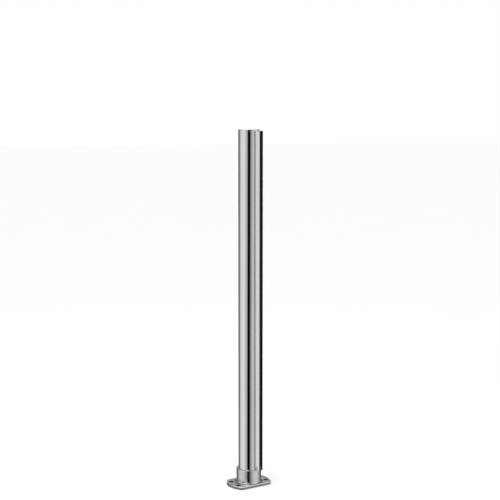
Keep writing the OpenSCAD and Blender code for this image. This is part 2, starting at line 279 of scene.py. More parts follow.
def drill(obj, cutters):
    """Cuts the given solids out of obj and deletes them."""
    for cutter in cutters:
        cut = obj.modifiers.new("cut", "BOOLEAN")
        cut.operation = "DIFFERENCE"
        cut.solver = "EXACT"
        cut.object = cutter
        apply_modifiers(obj)
        bpy.data.objects.remove(cutter)
    return obj


def bevel(obj, width, segments, angle):
    """Bevels the edges that turn by more than the given angle in degrees."""
    mod = obj.modifiers.new("bevel", "BEVEL")
    mod.width = width
    mod.segments = segments
    mod.limit_method = "ANGLE"
    mod.angle_limit = math.radians(angle)
    mod.miter_outer = "MITER_ARC"
    apply_modifiers(obj)
    return obj


def radial_normals(obj, radii):
    """True cylinder normals on the faces that lie on one of the given radii round Z."""
    tolerance = 0.02 * MM
    upright = 0.97
    mesh = obj.data
    normals = [tuple(n.vector) for n in mesh.corner_normals]
    for face in mesh.polygons:
        centre_dir = Vector((face.center.x, face.center.y, 0)).normalized()
        side = face.normal.dot(centre_dir)
        if abs(side) < upright:
            continue
        for loop in face.loop_indices:
            co = mesh.vertices[mesh.loops[loop].vertex_index].co
            flat = Vector((co.x, co.y, 0))
            if any(abs(flat.length - r) < tolerance for r in radii):
                normals[loop] = tuple(flat.normalized() * math.copysign(1, side))
    mesh.normals_split_custom_set(normals)
    return obj


def node_parts(name):
    """The separate solids of a CAD node, as lists of points."""
    digits = 6
    mesh = frame["nodes"][name].data
    groups = list(range(len(mesh.vertices)))

    def root(i):
        while groups[i] != i:
            groups[i] = groups[groups[i]]
            i = groups[i]
        return i

    # Vertices that share a place count as one, because hard edges split them
    places = {}
    for v in mesh.vertices:
        key = tuple(round(c, digits) for c in v.co)
        groups[root(v.index)] = root(places.setdefault(key, v.index))
    for e in mesh.edges:
        groups[root(e.vertices[0])] = root(e.vertices[1])
    parts = {}
    for v in mesh.vertices:
        parts.setdefault(root(v.index), []).append(v.co.copy())
    return list(parts.values())


def is_upright(face):
    """Whether a face stands upright, as a rim does, and isn't level or sloping."""
    return abs(face.normal.z) <= 0.3


def place(obj, body, slot, *nodes):
    """Puts a finished piece on its body, in place of the CAD nodes that it stands for."""
    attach(obj, body)
    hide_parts(*nodes)
    return obj


# Heights of the channel's screws, from the middle of each
screw_heights = sorted((min(p.z for p in part) + max(p.z for p in part)) / 2
                       for part in node_parts("channel_screws"))


# --------------------------------------------------------------------------------------
# Pieces of the post
# --------------------------------------------------------------------------------------
def make_tube():
    """The tube, with the cross pin's slot and the holes of the lock, its cover and the channel."""
    low, top = tube_low.z, tube_high.z
    profile = rounded([(bore_r, low), (tube_r, low), (tube_r, top), (bore_r, top)], 0.35 * MM, 3)
    tube = lathe("tube_shell", profile, FINE_TURNS)
    slot_r = pin_r + GLIDE
    through = 2 * tube_r
    slot_top = cylinder("cut_slot_top", slot_r, -through, through, along(PIN_AXIS, pin_z))
    slot_side = extrude("cut_slot_side", [(-through, -slot_r), (through, -slot_r),
                        (through, slot_r), (-through, slot_r)], low - 2 * CUT, pin_z)
    lock_hole = cylinder("cut_lock", LOCK_R + GLIDE, 0, through, along(lock_out, lock_z))
    cover_hole = cylinder("cut_cover", RIVET_R + TOUCH, 0, through, along(lock_out, cover_z))
    nut_holes = screw_cutters(RIVET_NUT_R + TOUCH, through)
    drill(tube, [slot_top, slot_side, lock_hole, cover_hole, *nut_holes])
    finish_mesh(tube)
    radial_normals(tube, (tube_r, bore_r))
    return place(tube, "post", "polished_steel", "post_tube")


def make_cap():
    """The cap, with its insert and the O-ring's groove."""
    insert_r = bore_r - CAP_FIT
    inner_r = insert_r - CAP_INSERT_WALL
    groove_r = insert_r - ORING_GROOVE
    low, top, seam = cap_low.z, cap_high.z, tube_high.z
    ring_low, ring_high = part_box("cap_oring")
    middle = (ring_low.z + ring_high.z) / 2
    half = (ring_high.z - ring_low.z) / 2 + ORING_ROOM
    foot_edge = 0.3 * MM
    groove_edge = 0.1 * MM
    seam_edge = 0.15 * MM
    corners = [(0, top), (0, seam), (inner_r, seam), (inner_r, low), (insert_r, low),
               (insert_r, middle - half), (groove_r, middle - half), (groove_r, middle + half),
               (insert_r, middle + half), (insert_r, seam), (tube_r, seam), (tube_r, top)]
    radii = [0, 0, 0, foot_edge, foot_edge, groove_edge, 0, 0, groove_edge, 0, seam_edge,
             CAP_BEVEL]
    cap = lathe("cap_disc", rounded(corners, radii, 5), FINE_TURNS)
    finish_mesh(cap)
    return place(cap, "post", "polished_steel", "top_cap")


def channel_outline():
    """Outline of the channel in its own frame: two cheeks, and a web hollowed to the tube."""
    half = CHANNEL_W / 2
    inner = half - CHANNEL_WALL
    mouth_edge = 0.6 * MM
    inside_edge = 0.25 * MM
    floor_corner = 0.5 * MM
    back_r = tube_r + TOUCH
    heel = math.sqrt(back_r ** 2 - half ** 2)
    sweep = math.asin((half - 2 * HEEL_ROUND) / back_r)
    steps = 10
    arc = [(back_r * math.sin(a), -back_r * math.cos(a))
           for a in (sweep - 2 * sweep * k / steps for k in range(steps + 1))]
    corners = [(-half, -cheek_reach), (-inner, -cheek_reach), (-inner, -channel_floor),
               (inner, -channel_floor), (inner, -cheek_reach), (half, -cheek_reach),
               (half, -heel), *arc, (-half, -heel)]
    radii = [mouth_edge, inside_edge, floor_corner, floor_corner, inside_edge, mouth_edge,
             HEEL_ROUND, *[0] * len(arc), HEEL_ROUND]
    return rounded(corners, radii, 5)


def make_channel():
    """The side channel, with its screws' holes."""
    channel = extrude("channel_rail", channel_outline(), channel_low.z, channel_high.z,
                      channel_frame)
    drill(channel, screw_cutters(SCREW_R + GLIDE, channel_reach, CUTTER_TURNS // 2))
    bevel(channel, width=0.2 * MM, segments=2, angle=60)
    finish_mesh(channel)
    return place(channel, "post", "polished_steel", "channel_profile")


def gasket_outline():
    """Outline of the extruded gasket: core, rolled lips over the cheeks, and ribs in the slot."""
    half = CHANNEL_W / 2
    core = half - CHANNEL_WALL - GASKET_FIT
    slot = PANEL_SLOT / 2
    back = channel_floor + GASKET_BACK
    floor = back + GASKET_BASE_T
    back_edge = 0.4 * MM
    lip_heel = 0.2 * MM
    lip_edge = 0.7 * MM
    mouth_edge = 0.5 * MM
    rib_edge = 0.15 * MM
    floor_corner = 0.8 * MM
    right = []
    left = []
    for y in (channel_reach - FIRST_RIB - RIB_PITCH * k for k in range(RIB_COUNT)):
        right += [(slot, -(y + RIB)), (slot - RIB, -y), (slot, -(y - RIB))]
        left = [(-slot, -(y - RIB)), (-slot + RIB, -y), (-slot, -(y + RIB))] + left
    corners = [(core, -back), (-core, -back), (-core, -cheek_reach), (-half, -cheek_reach),
               (-half, -channel_reach), (-slot, -channel_reach)]
    radii = [back_edge, back_edge, 0, lip_heel, lip_edge, mouth_edge]
    corners += list(reversed(left)) + [(-slot, -floor), (slot, -floor)] + list(reversed(right))
    radii += [rib_edge] * len(left) + [floor_corner] * 2 + [rib_edge] * len(right)
    corners += [(slot, -channel_reach), (half, -channel_reach), (half, -cheek_reach),
                (core, -cheek_reach)]
    radii += [mouth_edge, lip_edge, lip_heel, 0]
    return rounded(corners, radii, 4)


def make_gasket():
    gasket = extrude("gasket_strip", gasket_outline(), gasket_low.z, gasket_high.z, channel_frame)
    finish_mesh(gasket, sharp=40)
    return place(gasket, "post", "black_rubber", "panel_gasket")


# --------------------------------------------------------------------------------------
# Pieces of the base
# --------------------------------------------------------------------------------------
def plate_outline(r, half_w, steps=72):
    """Two round ends joined by straight sides, anticlockwise."""
    reach = math.asin(half_w / r)
    right = [(r * math.cos(a), r * math.sin(a))
             for a in (reach * (2 * k / steps - 1) for k in range(steps + 1))]
    return right + [(-x, -y) for x, y in right]


def make_plate():
    """The plate, bevelled round its top and foot, with its four bolt holes."""
    low, top = plate_low.z, plate_high.z
    levels = [(low, PLATE_FOOT_BEVEL), (low + PLATE_FOOT_BEVEL, 0), (top - PLATE_BEVEL, 0),
              (top, PLATE_BEVEL)]
    loops = [[(x, y, z) for x, y in plate_outline(plate_high.x - inset, plate_high.y - inset)]
             for z, inset in levels]
    count = len(loops[0])
    verts = [p for loop in loops for p in loop]
    faces = [tuple(reversed(range(count))), tuple(range(len(verts) - count, len(verts)))]
    for i in range(len(loops) - 1):
        for k in range(count):
            n = (k + 1) % count
            faces.append((i * count + k, i * count + n, (i + 1) * count + n, (i + 1) * count + k))
    plate = new_object("flange_plate", verts, faces)
    holes = [cylinder(f"cut_bolt_{sx}_{sy}", bolt_r, low - CUT, top + CUT,
                      Matrix.Translation((sx * bolt_x, sy * bolt_y, 0)))
             for sx in (-1, 1) for sy in (-1, 1)]
    drill(plate, holes)
    bevel(plate, width=0.35 * MM, segments=3, angle=25)
    finish_mesh(plate)
    return place(plate, "base", "polished_steel", "base_plate")


def mark_cut_faces(plate, rim_slot, hole_slot):
    """Gives the plate's upright faces the materials of its sawn rim and its drilled holes, which carry painted
    shade.
    """
    near_hole = 1.2 * bolt_r
    for face in filter(is_upright, plate.data.polygons):
        from_hole = math.hypot(abs(face.center.x) - bolt_x, abs(face.center.y) - bolt_y)
        face.material_index = hole_slot if from_hole < near_hole else rim_slot


def make_collar():
    """The socket collar, with its seal's groove in the bore."""
    seal_low, seal_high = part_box("collar_seal")
    groove_r = collar_bore_r + SEAL_GROOVE
    rim_edge = 0.3 * MM
    groove_edge = 0.1 * MM
    low, top = collar_low.z, collar_high.z
    corners = [(collar_bore_r, low), (collar_r, low), (collar_r, top), (collar_bore_r, top),
               (collar_bore_r, seal_high.z), (groove_r, seal_high.z), (groove_r, seal_low.z),
               (collar_bore_r, seal_low.z)]
    radii = [0, 0, rim_edge, rim_edge, groove_edge, 0, 0, groove_edge]
    collar = lathe("collar_ring", rounded(corners, radii, 6), FINE_TURNS)
    finish_mesh(collar)
    return place(collar, "base", "polished_steel", "socket_collar")


def mark_rim_faces(collar, rim_slot):
    """Gives the collar's faced rim its own material."""
    for face in collar.data.polygons:
        if not is_upright(face):
            face.material_index = rim_slot


def make_weld(name, node, inner_r, seed):
    """A dressed fillet weld: hollow in section, with what is left of its overlapping puddles."""
    low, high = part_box(node)
    leg = high.x - inner_r
    smallest = 0.95
    ripple = 0.03
    hollow = 0.15
    steps = 8
    puddles = int(2 * math.pi * inner_r / WELD_PITCH)
    turns = puddles * steps
    sizes = np.random.default_rng(seed).uniform(smallest, 1, puddles)
    section = rounded(WELD_SECTION, [0, 0, 0, hollow, 0])
    verts = []
    for k in range(turns):
        puddle, step = divmod(k, steps)
        swell = 1 - ripple + ripple * math.sin(math.pi * step / steps)
        reach = leg * sizes[puddle] * swell
        a = 2 * math.pi * k / turns
        for out, up in section:
            r = inner_r + reach * out
            verts.append((r * math.cos(a), r * math.sin(a), low.z + reach * up))
    ring = len(section)
    faces = []
    for k in range(turns):
        n = (k + 1) % turns
        for j in range(ring):
            m = (j + 1) % ring
            faces.append((k * ring + j, n * ring + j, n * ring + m, k * ring + m))
    weld = new_object(name, verts, faces)
    finish_mesh(weld, sharp=50)
    return place(weld, "base", "satin_steel", node)


def make_spigot():
    """The spigot, with the hole of its cross pin."""
    low, top = spigot_low.z, spigot_high.z
    inner_r = spigot_r - SPIGOT_WALL
    through = 2 * tube_r
    profile = rounded([(inner_r, low), (spigot_r, low), (spigot_r, top), (inner_r, top)],
                      0.2 * MM, 3)
    spigot = lathe("spigot_shell", profile)
    drill(spigot, [cylinder("cut_pin", pin_r + TOUCH, -through, through, along(PIN_AXIS, pin_z))])
    finish_mesh(spigot)
    radial_normals(spigot, (spigot_r, inner_r))
    return place(spigot, "base", "satin_steel", "spigot_tube")


def make_guide_ring(name, node):
    """A turned nylon ring with lead-in bevels and two grease grooves."""
    low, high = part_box(node)
    outer = high.x
    inner = spigot_r + RUN_FIT
    half = GREASE_GROOVE_HALF
    floor_r = outer - GREASE_GROOVE
    third = (high.z - low.z) / 3
    bore_edge = 0.3 * MM
    groove_edge = 0.15 * MM
    groove_corner = 0.2 * MM
    corners = [(inner, low.z), (outer, low.z)]
    radii = [bore_edge, RING_LEAD_IN]
    for z in (low.z + third, low.z + 2 * third):
        corners += [(outer, z - half), (floor_r, z - half / 2), (floor_r, z + half / 2),
                    (outer, z + half)]
        radii += [groove_edge, groove_corner, groove_corner, groove_edge]
    corners += [(outer, high.z), (inner, high.z)]
    radii += [RING_LEAD_IN, bore_edge]
    ring = lathe(name, rounded(corners, radii, 4))
    finish_mesh(ring)
    return place(ring, "base", "white_nylon", node)


def make_cover_rivet():
    """Shoulder rivet of the keyhole cover, with its head set to a low dome."""
    low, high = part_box("cover_pin")
    flap_low, flap_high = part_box("cover_flap")
    tail_face = low.y + RIVET_TAIL_T
    shoulder_top = flap_low.y - RUN_FIT
    head_back = flap_high.y + RUN_FIT
    head_t = high.y - head_back
    rim_share = 0.25
    dome_share = 1 - rim_share
    steps = 12
    dome = []
    for k in range(steps):
        a = math.pi / 2 * k / steps
        share = rim_share + dome_share * math.sin(a)
        dome.append((RIVET_HEAD_R * math.cos(a), head_back + head_t * share))
    profile = [(0, low.y), (RIVET_TAIL_R, low.y), (RIVET_TAIL_R, tail_face), (RIVET_R, tail_face),
               (RIVET_R, tube_r + TOUCH), (RIVET_SHOULDER_R, tube_r + TOUCH),
               (RIVET_SHOULDER_R, shoulder_top), (RIVET_R, shoulder_top), (RIVET_R, head_back),
               (RIVET_HEAD_R, head_back), *dome, (0, high.y)]
    rivet = lathe("cover_rivet", profile, SMALL_TURNS, along(lock_out, cover_z))
    finish_mesh(rivet)
    return place(rivet, "post", "polished_steel", "cover_pin")


# --------------------------------------------------------------------------------------
# CAD nodes that keep their shape get softened edges from modifiers
# --------------------------------------------------------------------------------------
# Width of the softened edge of each, in millimetres
SOFT_EDGES = {
    "spigot_cap": 0.3, "cross_pin": 0.5, "seat_gasket": 0.2, "catch_bracket": 0.35,
    "channel_stop": 0.4, "lock_saddle": 0.15, "lock_nut": 0.3, "lock_cam": 0.25,
    "cover_flap": 0.35, "cam_screw": 0.2,
}


def soften(node, width):
    """Joins the flat faces of a CAD node and bevels the edges between them."""
    same_place = 0.002 * MM
    flat = math.radians(0.3)
    edge = math.radians(40)
    obj = frame["nodes"][node]
    weld = obj.modifiers.new("weld", "WELD")
    weld.merge_threshold = same_place
    planar = obj.modifiers.new("planar", "DECIMATE")
    planar.decimate_type = "DISSOLVE"
    planar.angle_limit = flat
    edges = obj.modifiers.new("edges", "BEVEL")
    edges.width = width
    edges.segments = 3
    edges.limit_method = "ANGLE"
    edges.angle_limit = edge
    normals = obj.modifiers.new("normals", "WEIGHTED_NORMAL")
    normals.keep_sharp = True
    normals.weight = NORMAL_WEIGHT


# --------------------------------------------------------------------------------------
# Materials
# --------------------------------------------------------------------------------------
# Noise textures lie mostly between these two values
NOISE_LOW = 0.3
NOISE_HIGH = 0.7


def steel(level):
    """The colour of stainless steel at a brightness: grey with a trace of blue."""
    return (level, level + 0.005, level + 0.01)


class Nodes:
    """Builds one node material. Its plain colour and roughness hold where nothing is linked."""

    def __init__(self, name, colour, metallic, roughness):
        self.material = bpy.data.materials.new(name)
        self.material.use_nodes = True
        self.tree = self.material.node_tree
        self.shader = self.tree.nodes["Principled BSDF"]
        self.shader.inputs["Base Color"].default_value = (*colour, 1)
        self.shader.inputs["Metallic"].default_value = metallic
        self.shader.inputs["Roughness"].default_value = roughness
        self.coords = self.tree.nodes.new("ShaderNodeTexCoord")

    def link(self, output, target):
        self.tree.links.new(output, target)

    def noise(self, scale, detail, roughness=0.55, stretch=(1, 1, 1)):
        """Noise in the piece's own space. stretch scales X, Y and Z first."""
        mapping = self.tree.nodes.new("ShaderNodeMapping")
        mapping.inputs["Scale"].default_value = stretch
        self.link(self.coords.outputs["Object"], mapping.inputs["Vector"])
        noise = self.tree.nodes.new("ShaderNodeTexNoise")
        noise.inputs["Scale"].default_value = scale
        noise.inputs["Detail"].default_value = detail
        noise.inputs["Roughness"].default_value = roughness
        self.link(mapping.outputs["Vector"], noise.inputs["Vector"])
        return noise.outputs["Fac"]

    def xyz(self):
        """X, Y and Z in the piece's own space."""
        split = self.tree.nodes.new("ShaderNodeSeparateXYZ")
        self.link(self.coords.outputs["Object"], split.inputs["Vector"])
        return [split.outputs[axis] for axis in "XYZ"]

    def spread(self, value, low, high, from_low=NOISE_LOW, from_high=NOISE_HIGH):
        """Spreads a value's range over the range from low to high."""
        node = self.tree.nodes.new("ShaderNodeMapRange")
        node.inputs["From Min"].default_value = from_low
        node.inputs["From Max"].default_value = from_high
        node.inputs["To Min"].default_value = low
        node.inputs["To Max"].default_value = high
        self.link(value, node.inputs["Value"])
        return node.outputs["Result"]

    def maths(self, operation, a, b):
        """Joins two values; each is a number or another node's value."""
        node = self.tree.nodes.new("ShaderNodeMath")
        node.operation = operation
        for i, value in enumerate((a, b)):
            if isinstance(value, (int, float)):
                node.inputs[i].default_value = value
            else:
                self.link(value, node.inputs[i])
        return node.outputs["Value"]

    def from_axis(self):
        """Distance from the post's axis."""
        x, y = self.xyz()[:2]
        squares = self.maths("ADD", self.maths("MULTIPLY", x, x), self.maths("MULTIPLY", y, y))
        return self.maths("POWER", squares, 0.5)

    def colours(self, value, dark, light, unshaded=None):
        """Colour by a value. The last argument, from 0 to 1, darkens it where it is low, as painted shade."""
        ramp = self.tree.nodes.new("ShaderNodeValToRGB")
        first, last = ramp.color_ramp.elements
        first.position = NOISE_LOW
        first.color = (*dark, 1)
        last.position = NOISE_HIGH
        last.color = (*light, 1)
        self.link(value, ramp.inputs["Fac"])
        colour = ramp.outputs["Color"]
        if unshaded is not None:
            shade = self.tree.nodes.new("ShaderNodeVectorMath")
            shade.operation = "SCALE"
            self.link(colour, shade.inputs["Vector"])
            self.link(unshaded, shade.inputs["Scale"])
            colour = shade.outputs["Vector"]
        self.link(colour, self.shader.inputs["Base Color"])

    def roughness(self, value, more=None):
        """Roughness by a value, or by the sum of two."""
        total = value if more is None else self.maths("ADD", value, more)
        self.link(total, self.shader.inputs["Roughness"])

    def bump(self, value, strength, distance):
        """Relief of up to the given distance in metres."""
        node = self.tree.nodes.new("ShaderNodeBump")
        node.inputs["Strength"].default_value = strength
        node.inputs["Distance"].default_value = distance
        self.link(value, node.inputs["Height"])
        self.link(node.outputs["Normal"], self.shader.inputs["Normal"])


def polished_tube():
    """Mirror-polished tube: fine drawn lines along its length and faint handling haze."""
    m = Nodes("polished_tube", steel(0.74), metallic=1, roughness=0.06)
    lines = m.noise(scale=900, detail=3, stretch=(1, 1, 0.004))
    haze = m.noise(scale=14, detail=5, roughness=0.6, stretch=(1, 1, 0.35))
    m.roughness(m.spread(lines, 0, 0.035), m.spread(haze, 0.035, 0.075))
    m.colours(haze, steel(0.72), steel(0.76))
    m.bump(lines, strength=0.05, distance=0.02 * MM)
    return m.material


def polished_turned():
    """Turned and polished pieces: the same steel with a slightly softer gloss."""
    m = Nodes("polished_turned", steel(0.72), metallic=1, roughness=0.09)
    lines = m.noise(scale=60, detail=3, stretch=(1, 1, 60))
    haze = m.noise(scale=45, detail=5, roughness=0.6)
    m.roughness(m.spread(lines, 0.0, 0.04), m.spread(haze, 0.06, 0.12))
    m.colours(haze, steel(0.69), steel(0.75))
    m.bump(lines, strength=0.06, distance=0.02 * MM)
    return m.material


def polished_collar():
    """Socket collar: fine turned, so that its grooves spread reflections up and down."""
    m = Nodes("polished_collar", steel(0.66), metallic=1, roughness=0.17)
    lines = m.noise(scale=60, detail=3, stretch=(1, 1, 60))
    haze = m.noise(scale=45, detail=5, roughness=0.6)
    m.roughness(m.spread(lines, 0.0, 0.03), m.spread(haze, 0.14, 0.17))
    m.colours(haze, steel(0.63), steel(0.69))
    m.bump(lines, strength=0.06, distance=0.02 * MM)
    m.shader.inputs["Anisotropic"].default_value = 0.95
    m.shader.inputs["Anisotropic Rotation"].default_value = 0.25
    around = m.tree.nodes.new("ShaderNodeTangent")
    around.direction_type = "RADIAL"
    around.axis = "Z"
    m.link(around.outputs["Tangent"], m.shader.inputs["Tangent"])
    return m.material


def polished_plate():
    """Polished flange: glossy, with polishing mottle, light wear and a ring of painted shade round the weld."""
    m = Nodes("polished_plate", steel(0.66), metallic=1, roughness=0.2)
    mottle = m.noise(scale=70, detail=6, roughness=0.6)
    scratches = m.noise(scale=90, detail=3, stretch=(1, 14, 1))
    m.roughness(m.spread(mottle, 0.18, 0.32), m.spread(scratches, 0.0, 0.06))
    # Painted shade: the plate's colour is darkened in a ring round the foot of the weld, fading outwards
    weld_toe = collar_weld_high.x
    darkest_shade = 0.3
    unshaded = m.spread(m.from_axis(), darkest_shade, 1, weld_toe, weld_toe + FOOT_SHADE_REACH)
    m.colours(mottle, steel(0.58), steel(0.7), unshaded)
    m.bump(mottle, strength=0.12, distance=0.08 * MM)
    return m.material


def satin_steel():
    """Brushed stainless steel of the inner pieces and the keyhole cover."""
    m = Nodes("satin_steel", steel(0.58), metallic=1, roughness=0.32)
    lines = m.noise(scale=120, detail=3, stretch=(1, 1, 24))
    stain = m.noise(scale=30, detail=5)
    m.roughness(m.spread(lines, 0.22, 0.34), m.spread(stain, 0.0, 0.08))
    m.colours(stain, steel(0.52), (0.62, 0.625, 0.635))
    m.bump(lines, strength=0.2, distance=0.03 * MM)
    return m.material


def weld_metal():
    """Weld, polished bright with the collar, and darkened by painted shade in the corner at the plate."""
    m = Nodes("weld_metal", (0.7, 0.7, 0.7), metallic=1, roughness=0.2)
    grain = m.noise(scale=420, detail=4)
    # Painted shade: the weld's colour goes near black in the corner at the plate, and fades to bright a little
    # higher up
    height = m.xyz()[2]
    dark_top = plate_high.z + 0.7 * MM
    unshaded_foot = plate_high.z + 1.3 * MM
    unshaded = m.spread(height, 0, 1, dark_top, unshaded_foot)
    m.roughness(m.spread(grain, 0.12, 0.26))
    tone = m.maths("ADD", unshaded, m.spread(grain, -0.08, 0.08))
    m.colours(tone, (0.05, 0.05, 0.05), steel(0.88))
    m.bump(grain, strength=0.2, distance=0.05 * MM)
    return m.material


def shaded_cut_steel():
    """Sawn rim of the plate: fine cutting lines, and painted shade that makes it darker than the polished top."""
    m = Nodes("shaded_cut_steel", (0.3, 0.3, 0.3), metallic=1, roughness=0.4)
    lines = m.noise(scale=60, detail=3, stretch=(1, 1, 40))
    stain = m.noise(scale=90, detail=4)
    m.roughness(m.spread(lines, 0.32, 0.48))
    m.colours(stain, (0.22, 0.222, 0.225), (0.34, 0.343, 0.347))
    m.bump(lines, strength=0.3, distance=0.04 * MM)
    return m.material


def shaded_hole_steel():
    """Walls of the bolt holes: rough drilled, and coloured near black as painted shade inside the holes."""
    m = Nodes("shaded_hole_steel", (0.07, 0.07, 0.07), metallic=1, roughness=0.55)
    rings = m.noise(scale=50, detail=2, stretch=(1, 1, 60))
    # Noise that varies the tone of the painted shade in the holes
    shade_noise = m.noise(scale=160, detail=4)
    m.roughness(m.spread(rings, 0.45, 0.65))
    m.colours(shade_noise, (0.035, 0.034, 0.033), (0.10, 0.099, 0.097))
    m.bump(rings, strength=0.4, distance=0.05 * MM)
    return m.material


def black_rubber():
    """Extruded EPDM: matt black with fine draw lines and a faint bloom."""
    m = Nodes("black_rubber", (0.012, 0.012, 0.013), metallic=0, roughness=0.62)
    lines = m.noise(scale=1500, detail=3, stretch=(1, 1, 0.01))
    bloom = m.noise(scale=24, detail=5, roughness=0.6, stretch=(1, 1, 0.3))
    m.roughness(m.spread(lines, 0.0, 0.1), m.spread(bloom, 0.55, 0.7))
    m.colours(bloom, (0.009, 0.009, 0.010), (0.018, 0.018, 0.019))
    m.bump(lines, strength=0.25, distance=0.04 * MM)
    m.shader.inputs["Specular IOR Level"].default_value = 0.35
    return m.material


def black_nylon():
    """Moulded nylon with a fine spark texture."""
    m = Nodes("black_nylon", (0.02, 0.02, 0.022), metallic=0, roughness=0.5)
    spark = m.noise(scale=1800, detail=2)
    m.roughness(m.spread(spark, 0.42, 0.58))
    m.colours(spark, (0.014, 0.014, 0.015), (0.024, 0.024, 0.026))
    m.bump(spark, strength=0.3, distance=0.04 * MM)
    return m.material


def white_nylon():
    """Turned natural nylon, slightly translucent, with turning marks."""
    m = Nodes("white_nylon", (0.80, 0.79, 0.74), metallic=0, roughness=0.4)
    marks = m.noise(scale=80, detail=2, stretch=(1, 1, 60))
    tone = m.noise(scale=40, detail=4)
    m.roughness(m.spread(marks, 0.32, 0.5))
    m.colours(tone, (0.74, 0.725, 0.665), (0.83, 0.82, 0.77))
    m.bump(marks, strength=0.2, distance=0.04 * MM)
    m.shader.inputs["Subsurface Weight"].default_value = 0.15
    m.shader.inputs["Subsurface Radius"].default_value = (1.0, 0.9, 0.75)
    m.shader.inputs["Subsurface Scale"].default_value = 2 * MM
    return m.material


def dulled_brass():
    """Turned brass with a little tarnish in its noise."""
    m = Nodes("dulled_brass", (0.70, 0.54, 0.28), metallic=1, roughness=0.25)
    lines = m.noise(scale=900, detail=3)
    tarnish = m.noise(scale=220, detail=5, roughness=0.6)
    m.roughness(m.spread(tarnish, 0.18, 0.36))
    m.colours(tarnish, (0.60, 0.45, 0.22), (0.76, 0.61, 0.34))
    m.bump(lines, strength=0.15, distance=0.03 * MM)
    return m.material


def white_floor():
    """Pale studio floor, which glows a little so that it meets the white background."""
    m = Nodes("white_floor", (0.93, 0.93, 0.93), metallic=0, roughness=0.7)
    tone = m.noise(scale=3, detail=3)
    m.colours(tone, (0.925, 0.925, 0.925), (0.935, 0.935, 0.935))
    m.shader.inputs["Specular IOR Level"].default_value = 0
    m.shader.inputs["Emission Color"].default_value = (1, 1, 1, 1)
    m.shader.inputs["Emission Strength"].default_value = 0.14
    return m.material


# --------------------------------------------------------------------------------------
# Build
# --------------------------------------------------------------------------------------
tube = make_tube()
cap = make_cap()
channel = make_channel()
gasket = make_gasket()
plate = make_plate()
collar = make_collar()
collar_bead = make_weld("collar_bead", "collar_weld", collar_r + TOUCH, seed=11)
spigot_bead = make_weld("spigot_bead", "spigot_weld", spigot_r + TOUCH, seed=12)
spigot = make_spigot()
lower_ring = make_guide_ring("lower_ring", "lower_guide_ring")
upper_ring = make_guide_ring("upper_ring", "upper_guide_ring")
cover_rivet = make_cover_rivet()

for node, width in SOFT_EDGES.items():
    soften(node, width * MM)

steel_tube = polished_tube()
steel_turned = polished_turned()
steel_plate = polished_plate()
steel_satin = satin_steel()
steel_weld = weld_metal()
steel_cut_shaded = shaded_cut_steel()
steel_hole_shade = shaded_hole_steel()
steel_collar = polished_collar()
rubber = black_rubber()
nylon_black = black_nylon()
nylon_white = white_nylon()
brass = dulled_brass()

PIECE_MATERIALS = {
    tube: steel_tube, cap: steel_turned, channel: steel_tube, gasket: rubber, plate: steel_plate,
    collar: steel_collar, collar_bead: steel_weld, spigot_bead: steel_weld, spigot: steel_satin,
    lower_ring: nylon_white, upper_ring: nylon_white, cover_rivet: steel_turned,
}
for piece, material in PIECE_MATERIALS.items():
    piece.data.materials.append(material)
plate.data.materials.append(steel_cut_shaded)
plate.data.materials.append(steel_hole_shade)
mark_cut_faces(plate, rim_slot=1, hole_slot=2)
collar.data.materials.append(steel_turned)
mark_rim_faces(collar, rim_slot=1)

NODE_MATERIALS = {
    steel_turned: ("lock_saddle", "lock_housing"),
    steel_satin: ("cover_flap", "spigot_cap", "cross_pin", "catch_bracket", "bracket_screws",
                  "channel_screws", "lock_washer", "lock_nut", "lock_cam", "cam_screw"),
    rubber: ("seat_gasket", "collar_seal", "cap_oring"),
    nylon_black: ("channel_stop",),
    brass: ("lock_plug", "rivet_nuts"),
}
for material, names in NODE_MATERIALS.items():
    for name in names:
        for material_slot in frame["nodes"][name].material_slots:
            material_slot.material = material

# --------------------------------------------------------------------------------------
# Studio: a pale floor, a soft overhead light and a tent whose reflections the steel shows
# --------------------------------------------------------------------------------------
CAMERA_AZIMUTH = -32.45  # of the photographer round the post, in degrees from straight in front
FLOOR_HALF = 60          # metres, so that the floor's edge is out of sight
floor = new_object("floor", [(-FLOOR_HALF, -FLOOR_HALF, 0), (FLOOR_HALF, -FLOOR_HALF, 0),
                             (FLOOR_HALF, FLOOR_HALF, 0), (-FLOOR_HALF, FLOOR_HALF, 0)],
                   [(0, 1, 2, 3)])
floor.data.materials.append(white_floor())
floor.visible_glossy = False

# Brightness of the tent at eye level, by the angle in degrees round the post from the
# photographer, who has the positive angles on the right
PANELS = [(-180, 0.55), (-158, 0.60), (-148, 0.40), (-142, 0.04), (-130, 0.08), (-119, 0.34),
          (-108, 0.60), (-98, 0.78), (-84, 0.88), (-70, 0.93), (-46, 0.86), (-35, 0.66),
          (-24, 0.48), (-17, 0.38), (-13, 0.02), (-11, 0.0), (8, 0.0), (10, 0.02), (16, 0.28),
          (22, 0.38), (31, 0.50), (43, 0.68), (55, 0.80), (78, 0.84), (94, 0.74), (108, 0.52),
          (124, 0.30), (134, 0.06), (160, 0.05), (170, 0.45), (180, 0.55)]
TENT_LEAN = 0.35         # how far the panels lean to one side, in radians for each unit of height
TENT_TURN = 0.10         # how far they are turned at eye level, in radians
GAP_HALF = 0.26          # half the dark gap in front, above eye level, in radians
GAP_EDGE = 0.6 * GAP_HALF

# Where one part of the studio fades into the next. A height is the sine of the angle above eye
# level. The floor is split from the photographer's left to right, and the wall from near to far.
FLOOR_TO_PANELS = (-0.52, -0.34)
DARK_TO_LIT_FLOOR = (-0.6, -0.15)
PANELS_TO_WALL = (0.07, 0.2)
WALL_TO_SKY = (0.5, 0.85)
SKY_TO_CEILING = (0.86, 0.97)
NEAR_TO_FAR_WALL = (-0.6, 0.8)

# Brightness of those parts
DARK_LEVEL = 0.2
NEAR_WALL_LEVEL = 0.8
FAR_WALL_LEVEL = 0.38
SKY_LEVEL = 1.2
CEILING_LEVEL = 0.6


